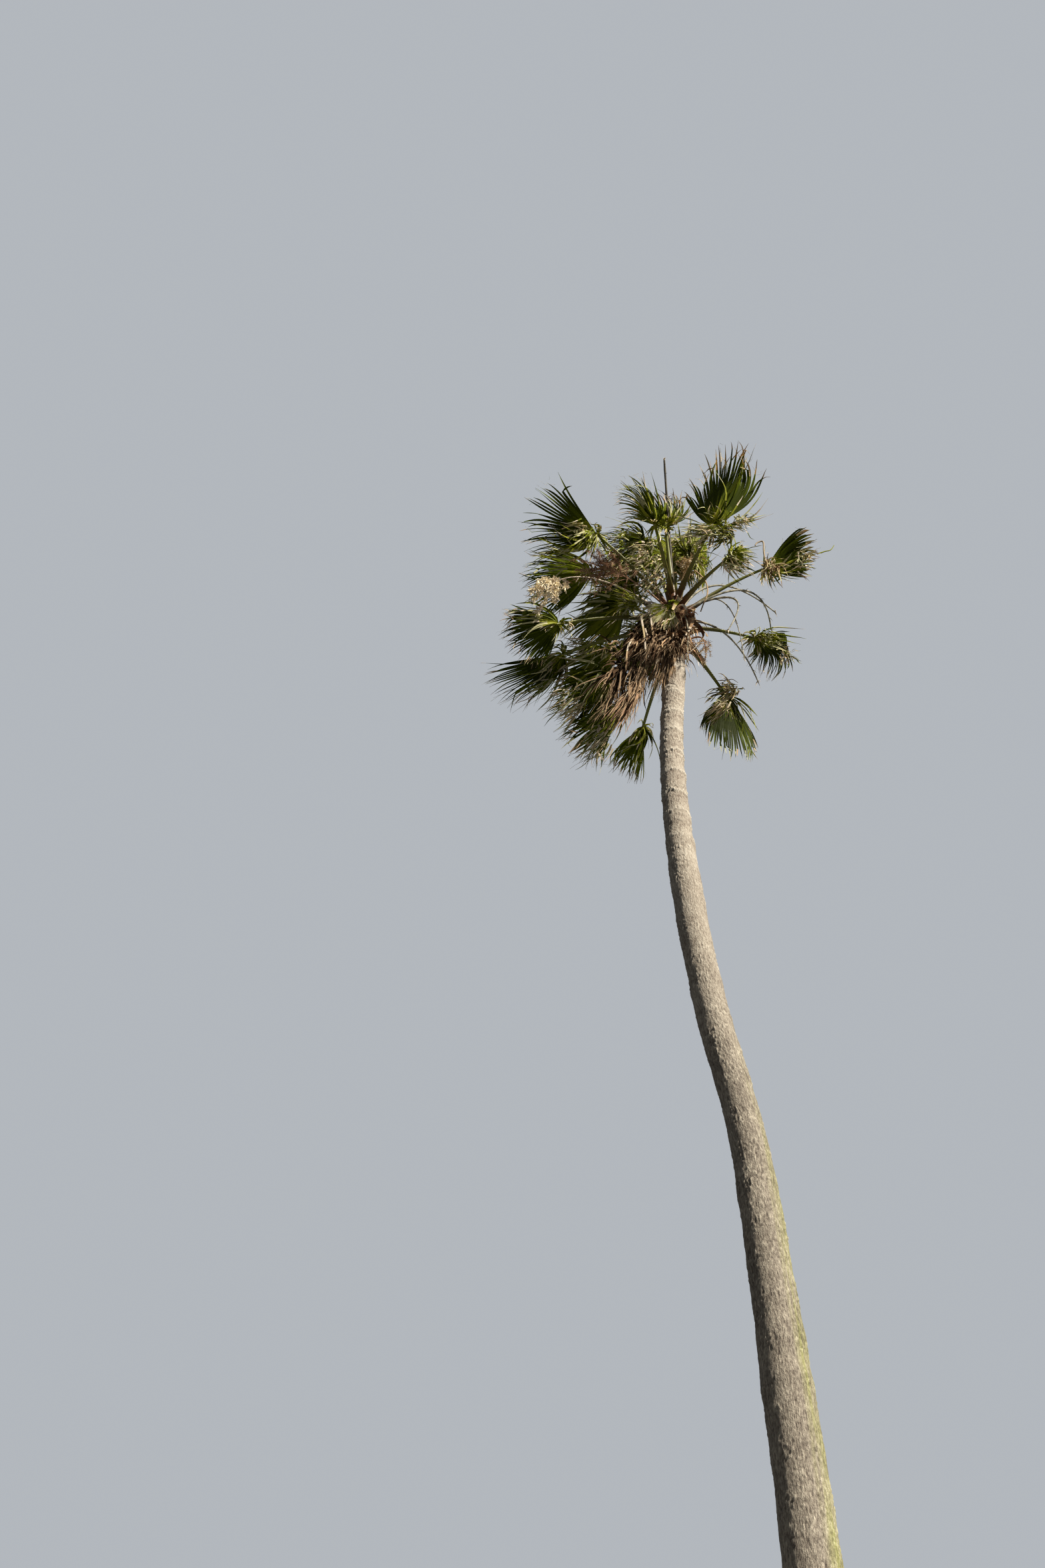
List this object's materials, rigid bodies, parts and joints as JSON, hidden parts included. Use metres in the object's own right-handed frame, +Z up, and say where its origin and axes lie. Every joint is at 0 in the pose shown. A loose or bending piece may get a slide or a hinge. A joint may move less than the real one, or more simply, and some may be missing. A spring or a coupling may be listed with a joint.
{
  "type": "fan palm tree",
  "caption": "Tall fan palm with a slender, bent, ring-scarred stem, a flared foot and a sparse crown of wind-blown fan leaves on long stalks above a ragged skirt of dead leaves.",
  "frame": {"origin": "on level ground, in the middle of the flat cut under the stem's flared foot", "axes": "+Z up along the stem; +X to the viewer's right and +Y away from the viewer in the view that the crown was worked out from; the wind blows towards -X"},
  "size_m": [4.1212, 3.7384, 24.461],
  "materials": {
    "bark": "grey-beige stem, ringed with leaf scars and cracked along its length, matt",
    "leaf_base": "red-brown split leaf bases with pale fibre, matt",
    "leaf_stalk": "olive-green stalk with thorny edges, satin",
    "leaf": "folded leathery blade, dark olive with a yellow-green middle, satin",
    "dead_leaf": "dry, grey-brown, torn leaf, matt",
    "flower_stalk": "dry bare stalk, grey-green to straw, matt",
    "panicle": "cream blossom on fine twigs, matt",
    "dry_panicle": "dried brown blossom and fruit on fine twigs, matt"
  },
  "bodies": {
    "root": {"stem": "bark", "head_of_leaf_bases": "leaf_base", "spear_leaf": "leaf", "leaf_stalk_01": "leaf_stalk", "leaf_stalk_02": "leaf_stalk", "leaf_stalk_03": "leaf_stalk", "leaf_stalk_04": "leaf_stalk", "leaf_stalk_05": "leaf_stalk", "leaf_stalk_06": "leaf_stalk", "leaf_stalk_07": "leaf_stalk", "leaf_stalk_08": "leaf_stalk", "leaf_stalk_09": "leaf_stalk", "leaf_stalk_10": "leaf_stalk", "leaf_stalk_11": "leaf_stalk", "leaf_stalk_12": "leaf_stalk", "leaf_stalk_13": "leaf_stalk", "leaf_stalk_14": "leaf_stalk", "leaf_stalk_15": "leaf_stalk", "leaf_stalk_16": "leaf_stalk", "leaf_stalk_17": "leaf_stalk", "leaf_stalk_18": "leaf_stalk", "leaf_stalk_19": "leaf_stalk", "leaf_stalk_20": "leaf_stalk", "leaf_stalk_21": "leaf_stalk", "leaf_stalk_22": "leaf_stalk", "flower_stalk_01": "flower_stalk", "flower_stalk_02": "flower_stalk", "flower_stalk_03": "flower_stalk", "flower_stalk_04": "flower_stalk", "flower_stalk_05": "flower_stalk", "fan_01": "leaf", "fan_02": "leaf", "fan_03": "leaf", "fan_04": "leaf", "fan_05": "leaf", "fan_06": "leaf", "fan_07": "leaf", "fan_08": "leaf", "fan_09": "leaf", "fan_10": "leaf", "fan_11": "leaf", "fan_12": "leaf", "fan_13": "leaf", "fan_14": "leaf", "fan_15": "leaf", "fan_16": "leaf", "fan_17": "leaf", "fan_18": "leaf", "fan_19": "leaf", "fan_20": "leaf", "fan_21": "leaf", "fan_22": "leaf", "small_leaf": "leaf", "dead_leaf_01": "dead_leaf", "dead_leaf_02": "dead_leaf", "dead_leaf_03": "dead_leaf", "dead_leaf_04": "dead_leaf", "dead_leaf_05": "dead_leaf", "panicle_01": "panicle", "panicle_02": "dry_panicle"}
  },
  "joints": []
}
